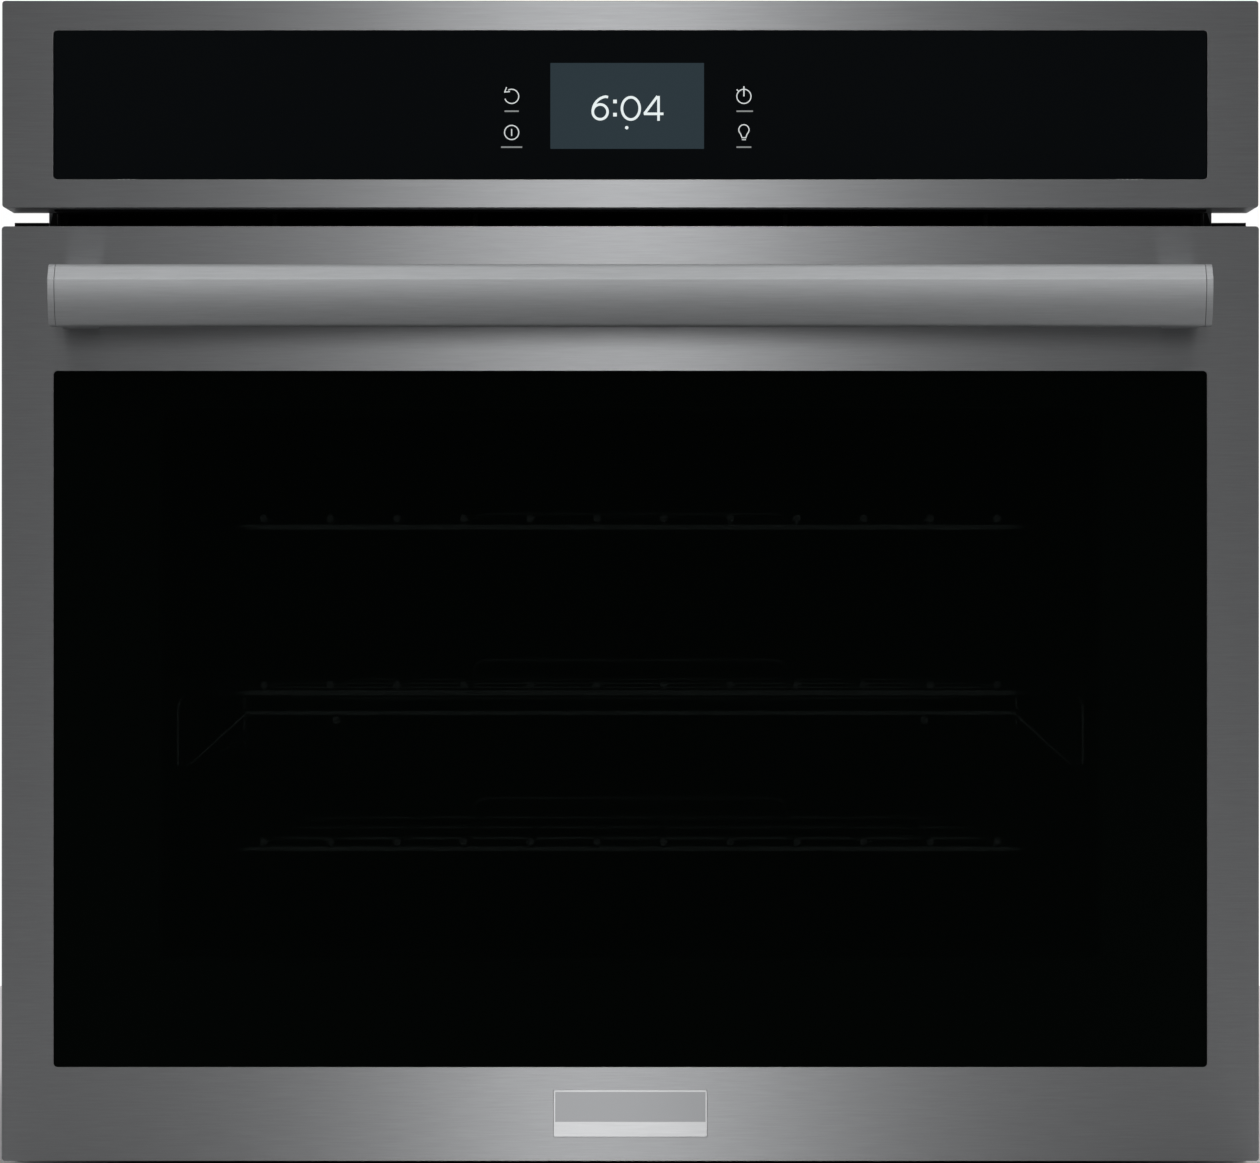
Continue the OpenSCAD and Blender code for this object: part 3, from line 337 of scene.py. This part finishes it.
MATERIALS = {
    "black_steel": brushed("black_steel", (0.36, 0.365, 0.375)),
    "handle_steel": brushed("handle_steel", (0.49, 0.5, 0.512), rough=0.55, stretch=0.5),
    "enamel": enamel("enamel", (0.016, 0.018, 0.026)),
    "galvanised": galvanised("galvanised", (0.56, 0.575, 0.59)),
    "chrome_wire": smooth_metal("chrome_wire", (0.72, 0.72, 0.73), 0.16),
    "black_glass": dark_glass("black_glass", (0.027, 0.033, 0.038), 0.15),
    "door_glass": window_glass("door_glass"),
    "clear_glass": clear_glass("clear_glass", (0.86, 0.92, 0.9)),
    "display": moulded("display", (0.02, 0.024, 0.028), 0.3),
    "black_plastic": moulded("black_plastic", (0.012, 0.012, 0.013)),
    "white_plastic": moulded("white_plastic", (0.7, 0.69, 0.66)),
    "ceramic": glazed_ceramic("ceramic", (0.8, 0.77, 0.7)),
    "board": circuit_board("board", (0.02, 0.14, 0.06)),
    "wool": fibre("wool", (0.62, 0.5, 0.22), (0.36, 0.27, 0.1), (500, 900, 500)),
    "gasket": braided("gasket", (0.5, 0.48, 0.44), (0.16, 0.15, 0.14)),
    "element": heater_sheath("element", (0.05, 0.05, 0.052)),
    "steel": smooth_metal("steel", (0.55, 0.55, 0.55), 0.3),
    "spring_steel": smooth_metal("spring_steel", (0.12, 0.12, 0.13), 0.3),
    "motor": smooth_metal("motor", (0.26, 0.26, 0.27), 0.4),
    "badge": badge_blank("badge", (0.6, 0.605, 0.615), (0.34, 0.345, 0.355)),
}
SLOT_OF = {part["node"]: part["material_slot"] for part in frame["record"]["subparts"]}


# ---------- mesh helpers ----------

def new_piece(name, mesh, slot, body, material=None):
    piece = bpy.data.objects.new(name, mesh)
    bpy.context.scene.collection.objects.link(piece)
    mesh.materials.clear()
    mesh.materials.append(material or MATERIALS[slot].material)
    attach(piece, body)
    return piece


def mesh_from(name, vertices, faces):
    mesh = bpy.data.meshes.new(name)
    mesh.from_pydata(vertices, [], faces)
    bm = bmesh.new()
    bm.from_mesh(mesh)
    bmesh.ops.recalc_face_normals(bm, faces=bm.faces)
    bm.to_mesh(mesh)
    bm.free()
    return mesh


def soften(node, width, segments=3, wide=None, smooth_below=32):
    """Replaces a CAD node by a copy of it with its sharp edges rounded.

    wide takes the middle of an edge and gives how much of the width that edge gets, from 0 to 1.
    """
    mesh = NODES[node].data.copy()
    mesh.name = node + "_finished"
    if "custom_normal" in mesh.attributes:
        mesh.attributes.remove(mesh.attributes["custom_normal"])
    bm = bmesh.new()
    bm.from_mesh(mesh)
    bmesh.ops.remove_doubles(bm, verts=bm.verts, dist=1e-6)
    bmesh.ops.dissolve_limit(bm, angle_limit=math.radians(0.5), verts=bm.verts, edges=bm.edges)
    weight = bm.edges.layers.float.new("bevel_weight_edge")
    sharp = math.radians(smooth_below)
    for edge in bm.edges:
        bend = edge.calc_face_angle(0) if len(edge.link_faces) == 2 else 0
        middle = (edge.verts[0].co + edge.verts[1].co) / 2
        edge[weight] = (wide(middle) if wide else 1.0) if bend > sharp else 0.0
    for face in bm.faces:
        face.smooth = True
    bm.to_mesh(mesh)
    bm.free()
    piece = new_piece(node + "_finished", mesh, SLOT_OF[node], BODY_OF[node])
    rounding = piece.modifiers.new("rounding", "BEVEL")
    rounding.limit_method = "WEIGHT"
    rounding.width = width
    rounding.segments = segments
    rounding.harden_normals = True
    rounding.miter_outer = "MITER_ARC"
    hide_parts(node)
    return piece


def ribbon(points, width, y, depth, closed=False):
    """Vertices and faces of a flat band of the given width along (x, z) points, standing on the plane y."""
    count = len(points)
    vertices, faces = [], []
    for i, (x, z) in enumerate(points):
        before = points[i - 1] if closed or i else points[0]
        after = points[(i + 1) % count] if closed or i < count - 1 else points[-1]
        along = Vector((after[0] - before[0], after[1] - before[1])).normalized()
        side = Vector((-along.y, along.x)) * width / 2
        for offset, level in ((1, y), (-1, y), (-1, y - depth), (1, y - depth)):
            vertices.append((x + offset * side.x, level, z + offset * side.y))
    for i in range(count if closed else count - 1):
        a, b = 4 * i, 4 * ((i + 1) % count)
        for k in range(4):
            faces.append((a + k, a + (k + 1) % 4, b + (k + 1) % 4, b + k))
    if not closed:
        faces += [(0, 1, 2, 3), (4 * count - 1, 4 * count - 2, 4 * count - 3, 4 * count - 4)]
    return vertices, faces


def arc(cx, cz, rx, rz, start, end, steps=24):
    """Points of an elliptical arc, degrees anticlockwise from +X."""
    angles = [math.radians(start + (end - start) * i / steps) for i in range(steps + 1)]
    return [(cx + rx * math.cos(a), cz + rz * math.sin(a)) for a in angles]


def ring(cx, cz, rx, rz, steps=40):
    return arc(cx, cz, rx, rz, 0, 360, steps)[:-1]


def joined(name, parts):
    """One mesh of many (vertices, faces) parts."""
    vertices, faces = [], []
    for part_vertices, part_faces in parts:
        start = len(vertices)
        vertices += part_vertices
        faces += [tuple(start + i for i in face) for face in part_faces]
    return mesh_from(name, vertices, faces)


# ---------- control panel graphics ----------

GRAPHIC_DEPTH = 0.03 * MM
PRINT_Y = glass_lo.y - 0.01 * MM
DISPLAY_X = (display_lo.x + display_hi.x) / 2
DISPLAY_Z = 0.6447
DISPLAY_W = 93.2 * MM
DISPLAY_H = 52.1 * MM


def graphic(strokes, level=PRINT_Y):
    """Bands from (points, width, closed), in millimetres from the middle of the display."""
    bands = []
    for points, width, closed in strokes:
        placed = [(DISPLAY_X + x * MM, DISPLAY_Z + z * MM) for x, z in points]
        bands.append(ribbon(placed, width * MM, level, GRAPHIC_DEPTH, closed))
    return bands


def add_display():
    """The lit display area, and a clock on it."""
    middle = [(-DISPLAY_W / 2 / MM, 0), (DISPLAY_W / 2 / MM, 0)]
    area = joined("display_area", graphic([(middle, DISPLAY_H / MM, False)]))
    glow = lit("display_glow", (0.0262, 0.0398, 0.0482), 1.0)
    new_piece("display_area", area, "display", "oven", glow.material)

    stroke = 1.55
    stem = [(-11.6, 5.35)] + arc(-12.0, -3.6, 8.9, 9.3, 97, 180, 14)
    digits = [
        (stem + arc(-16.4, -3.6, 4.5, 4.5, 180, 540, 36), stroke, False),
        ([(-8.5, 2.7), (-6.3, 2.7)], 2.2, False),
        ([(-8.5, -5.3), (-6.3, -5.3)], 2.2, False),
        (ring(2.2, -1.5, 5.4, 6.75), stroke, True),
        ([(18.4, 5.9), (10.4, -4.8)], stroke, False),
        ([(10.1, -4.8), (22.0, -4.8)], stroke, False),
        ([(19.0, 6.0), (19.0, -9.0)], stroke, False),
        (ring(-0.3, -13.2, 0.55, 0.55, 16), 1.0, True),
    ]
    white = lit("display_digits", (0.86, 0.94, 0.95), 0.95)
    mesh = joined("display_digits", graphic(digits, PRINT_Y - GRAPHIC_DEPTH))
    new_piece("display_digits", mesh, "display", "oven", white.material)


def add_touch_keys():
    """Printed key symbols: back, on and off, timer and light, each over a plain bar; the print is given a
    painted glow.
    """
    line = 0.62
    left, right, upper, lower = -70.1, 70.8, 5.8, -16.1
    bulb = arc(right, lower + 1.6, 3.1, 3.1, 228, -48, 30)
    symbols = [
        (arc(left, upper, 4.3, 4.3, -160, 118, 32), line, False),
        ([(left - 4.5, upper + 2.6), (left - 1.1, upper + 2.9)], line, False),
        ([(left - 4.3, upper + 2.3), (left - 3.1, upper + 5.6)], line, False),
        (ring(left, lower, 4.3, 4.3), line, True),
        ([(left, lower - 2.1), (left, lower + 2.1)], line, False),
        (ring(right, upper, 4.3, 4.3), line, True),
        ([(right, upper), (right, upper + 6.1)], line * 1.2, False),
        ([(right - 4.4, upper + 4.2), (right - 3.2, upper + 3.0)], line, False),
        (bulb, line, False),
        ([bulb[0], (right - 1.2, lower - 2.9)], line, False),
        ([bulb[-1], (right + 1.2, lower - 2.9)], line, False),
        ([(right - 1.5, lower - 3.2), (right + 1.5, lower - 3.2)], line, False),
        ([(right - 1.2, lower - 4.4), (right + 1.2, lower - 4.4)], line * 0.8, False),
    ]
    # painted glow: the white print is made to shine by itself
    white = lit("key_symbols", (0.8, 0.84, 0.84), 0.85)
    mesh = joined("key_symbols", graphic(symbols))
    new_piece("key_symbols", mesh, "display", "oven", white.material)

    bars = [(left, -3.2, 8.6), (left, -25.0, 12.8), (right + 0.5, -3.2, 10.0), (right, -25.0, 9.0)]
    labels = [([(x - w / 2, z), (x + w / 2, z)], 0.9, False) for x, z, w in bars]
    # painted glow: the grey printed bars are made to shine by themselves
    grey = lit("key_bars", (0.3, 0.32, 0.32), 0.8)
    mesh = joined("key_bars", graphic(labels))
    new_piece("key_bars", mesh, "display", "oven", grey.material)


# ---------- body and door pieces ----------

def finish_fronts():
    """Gives back the flat brushed pieces, which the lamp that draws the vertical sheen lights alone."""
    flat = [soften("door_skin", 0.6 * MM), soften("control_panel_frame", 0.6 * MM),
            soften("badge_plate", 0.3 * MM)]
    soften("door_glass_outer", 0.4 * MM)
    soften("control_glass", 0.3 * MM)
    soften("handle_bar", 0.35 * MM, smooth_below=12)
    cap_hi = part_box("handle_end_caps")[1]

    def outer_end(middle):
        return 1.0 if abs(middle.x) > cap_hi.x - 0.5 * MM else 0.2

    soften("handle_end_caps", 2.6 * MM, segments=4, wide=outer_end)
    return flat


def finish_body():
    for node, width in (("front_frame", 0.4), ("door_liner", 0.4), ("cavity_sides", 0.5),
                        ("mounting_trims", 0.4), ("vent_grille", 0.3), ("fan_cover", 0.4),
                        ("base_pan", 0.4)):
        soften(node, width * MM, segments=2)


def add_vent_end_shade():
    """Sloped thin black plates at the ends of the slot over the door: a dark sheet that paints the shade in
    the slot's ends.
    """
    low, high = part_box("vent_grille")
    inner, outer_top, outer_foot = 346, 355, 359.5
    corners = [(inner, high.z), (outer_top, high.z), (outer_foot, low.z), (inner, low.z)]
    back, front = face_y - 2.6 * MM, face_y - 3.4 * MM
    bands = []
    for side in (-1, 1):
        vertices = [(side * x * MM, y, z) for y in (back, front) for x, z in corners]
        faces = [(0, 1, 2, 3), (7, 6, 5, 4)] + [(i, (i + 1) % 4, (i + 1) % 4 + 4, i + 4) for i in range(4)]
        bands.append((vertices, faces))
    # painted shade: black plates standing in for the shade at the slot's ends
    new_piece("vent_ends", joined("vent_ends", bands), "black_plastic", "oven")


def add_springs():
    """A copy of the hinge springs in place of the CAD node, baked into the row frame and attached to no body.
    """
    mesh = NODES["hinge_springs"].data.copy()
    mesh.name = "hinge_springs_squeezed"
    piece = bpy.data.objects.new("hinge_springs_squeezed", mesh)
    bpy.context.scene.collection.objects.link(piece)
    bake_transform(piece)
    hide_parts("hinge_springs")


def dress_cad_nodes():
    for node, piece in NODES.items():
        piece.data.materials.clear()
        piece.data.materials.append(MATERIALS[SLOT_OF[node]].material)


# ---------- studio ----------

def area_light(name, place, aim, size, power, only=None):
    data = bpy.data.lights.new(name, "AREA")
    data.shape = "RECTANGLE"
    data.size, data.size_y = size
    data.energy = power
    light = bpy.data.objects.new(name, data)
    bpy.context.scene.collection.objects.link(light)
    light.location = place
    light.rotation_euler = (Vector(aim) - Vector(place)).to_track_quat("-Z", "Y").to_euler()
    if only:
        lit_pieces = bpy.data.collections.new(name + "_lights")
        for piece in only:
            lit_pieces.objects.link(piece)
        light.light_linking.receiver_collection = lit_pieces
    return light


def add_world():
    """White behind the oven; what it mirrors is a dim room that is brighter overhead."""
    world = bpy.data.worlds.new("studio")
    bpy.context.scene.world = world
    world.use_nodes = True
    nodes, links = world.node_tree.nodes, world.node_tree.links
    backdrop = nodes["Background"]
    backdrop.inputs["Color"].default_value = (1, 1, 1, 1)
    room = nodes.new("ShaderNodeBackground")
    height = nodes.new("ShaderNodeSeparateXYZ")
    ramp = nodes.new("ShaderNodeValToRGB")
    links.new(nodes.new("ShaderNodeTexCoord").outputs["Generated"], height.inputs[0])
    half = nodes.new("ShaderNodeMapRange")
    half.inputs["From Min"].default_value = -1
    links.new(height.outputs["Z"], half.inputs["Value"])
    links.new(half.outputs["Result"], ramp.inputs["Fac"])
    links.new(ramp.outputs["Color"], room.inputs["Color"])
    levels = [(0.0, 0.1), (0.36, 0.05), (0.44, 0.01), (0.58, 0.01), (0.7, 0.1), (1.0, 0.35)]
    stops = ramp.color_ramp.elements
    while len(stops) < len(levels):
        stops.new(0.5)
    for stop, (at, level) in zip(stops, levels):
        stop.position = at
        stop.color = (level, level, level, 1)
    path, mix = nodes.new("ShaderNodeLightPath"), nodes.new("ShaderNodeMixShader")
    links.new(path.outputs["Is Camera Ray"], mix.inputs["Fac"])
    behind, rear, sides = (nodes.new("ShaderNode" + kind) for kind in ("MapRange", "Background", "MixShader"))
    behind.inputs["From Min"].default_value = 0.1
    behind.inputs["From Max"].default_value = 0.3
    links.new(height.outputs["Y"], behind.inputs["Value"])
    rear.inputs["Color"].default_value = (0.65, 0.65, 0.65, 1)
    links.new(behind.outputs["Result"], sides.inputs["Fac"])
    links.new(room.outputs["Background"], sides.inputs[1])
    links.new(rear.outputs["Background"], sides.inputs[2])
    links.new(sides.outputs["Shader"], mix.inputs[1])
    links.new(backdrop.outputs["Background"], mix.inputs[2])
    links.new(mix.outputs["Shader"], nodes["World Output"].inputs["Surface"])


def add_floor():
    lo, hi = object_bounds()
    margin, thick = 0.6, 0.02
    front = lo.y - 0.48                          # further out, it would show in the door's glass
    corners = [(lo.x - margin, front), (hi.x + margin, front),
               (hi.x + margin, hi.y + margin), (lo.x - margin, hi.y + margin)]
    vertices = [(x, y, z) for z in (-0.0005, -thick) for x, y in corners]
    faces = [(0, 1, 2, 3), (7, 6, 5, 4)] + [(i, i + 4, (i + 1) % 4 + 4, (i + 1) % 4) for i in range(4)]
    floor = bpy.data.objects.new("floor", mesh_from("floor", vertices, faces))
    bpy.context.scene.collection.objects.link(floor)
    pale = Shader("floor", (0.76, 0.76, 0.76), Roughness=0.8)
    pale.set(Base_Color=pale.shade(pale.noise((3, 3, 3)), 0.98, 1.0))
    floor.data.materials.append(pale.material)


def add_lights(flat):
    front = door_lo.y
    handle = [piece for piece in bpy.data.objects
              if piece.name.startswith("handle_") and piece.type == "MESH"]
    area_light("sheen", (-0.04, front - 6.2, 0.95), (-0.04, front, 0.35), (0.3, 2.0), 36, only=flat)
    area_light("strip", (-0.04, front - 4.6, 4.1), (-0.04, front, 0.35), (0.3, 2.8), 9, only=flat)
    area_light("front_fill", (0, front - 6, 1.5), (0, front, 0.35), (7.0, 1.6), 25, only=flat)
    area_light("front_low", (0, front - 6, 1.5), (0, front, 0.35), (7.0, 1.6), 22, only=handle)
    for side in (-1, 1):
        place = (side * 1.0, front - 3.2, 1.8)
        area_light("handle_box", place, (0, front, 0.55), (1.2, 1.4), 18, only=handle)
    area_light("handle_top", (0, front - 1.6, 2.6), (0, front, 0.55), (3.0, 1.0), 15, only=handle)
    area_light("overhead", (0, front + 0.9, 2.6), (0, front + 0.7, 0), (2.8, 2.0), 10)
    area_light("back_fill", (0.9, front + 3.0, 2.2), (0, front + 0.5, 0.3), (1.6, 1.6), 40)
    racks = [NODES[node] for node in ("rack_top", "rack_middle", "rack_bottom")]
    doorway = (0, face_y + 0.002, 0.3)
    inside = area_light("inside", doorway, (0, 0.5, 0.3), (0.5, 0.3), 0.035, only=racks)
    inside.visible_camera = False


def studio_look():
    scene = bpy.context.scene
    scene.view_settings.view_transform = "Standard"
    scene.view_settings.look = "None"


add_camera()
dress_cad_nodes()
flat_fronts = finish_fronts()
finish_body()
add_vent_end_shade()
add_springs()
add_display()
add_touch_keys()
add_world()
add_floor()
add_lights(flat_fronts)
studio_look()
